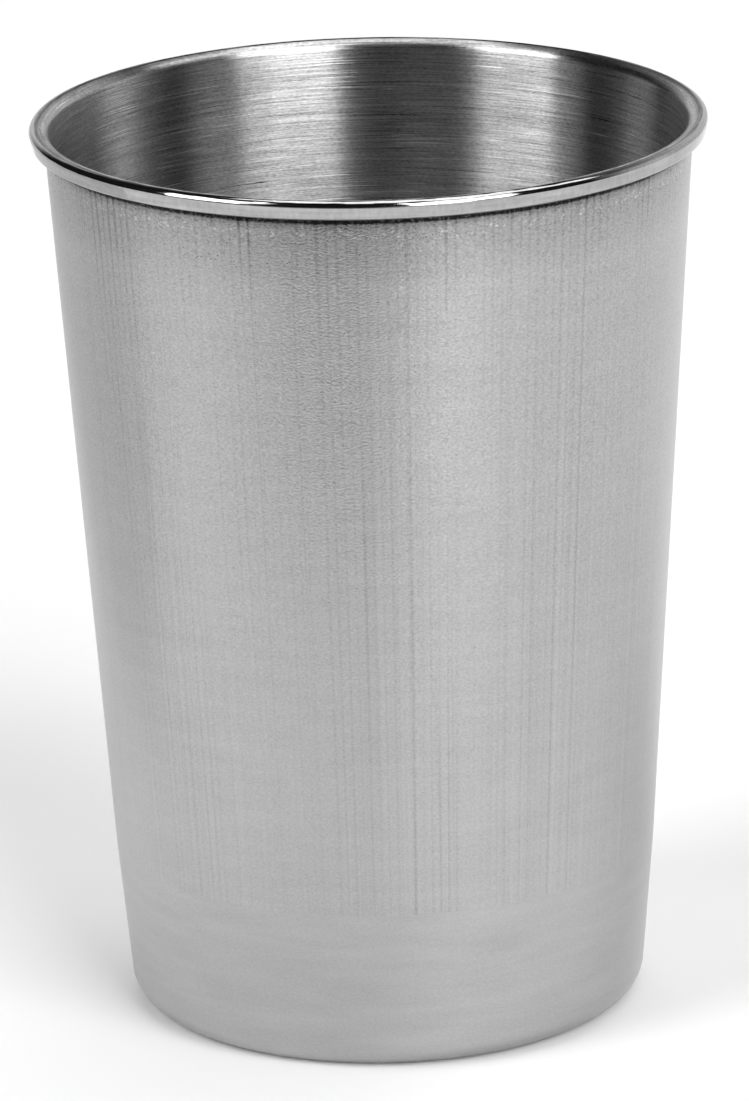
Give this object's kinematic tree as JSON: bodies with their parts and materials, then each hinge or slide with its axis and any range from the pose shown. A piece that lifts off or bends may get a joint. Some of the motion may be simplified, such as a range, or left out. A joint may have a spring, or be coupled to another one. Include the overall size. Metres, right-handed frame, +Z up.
{
  "type": "drinking cup",
  "caption": "Tapered single-wall stainless steel drinking cup with a rolled rim, a rounded heel and a slightly raised base panel.",
  "frame": {"origin": "middle of the base, on the surface that the cup stands on", "axes": "+Z up the cup's axis towards the mouth; the cup is round, so X and Y are alike"},
  "size_m": [0.089, 0.089, 0.1206],
  "materials": {
    "satin_wall_steel": "satin outside with fine upright draw lines, brushed round the inside, polished rolled rim",
    "drawn_wire_steel": "plain drawn wire",
    "ground_weld_steel": "weld ground flush and brushed",
    "satin_base_steel": "satin, faintly brushed round the cup"
  },
  "bodies": {
    "root": {"tapered_wall": "satin_wall_steel", "rim_wire": "drawn_wire_steel", "seam_weld": "ground_weld_steel", "base_pan": "satin_base_steel"}
  },
  "joints": []
}
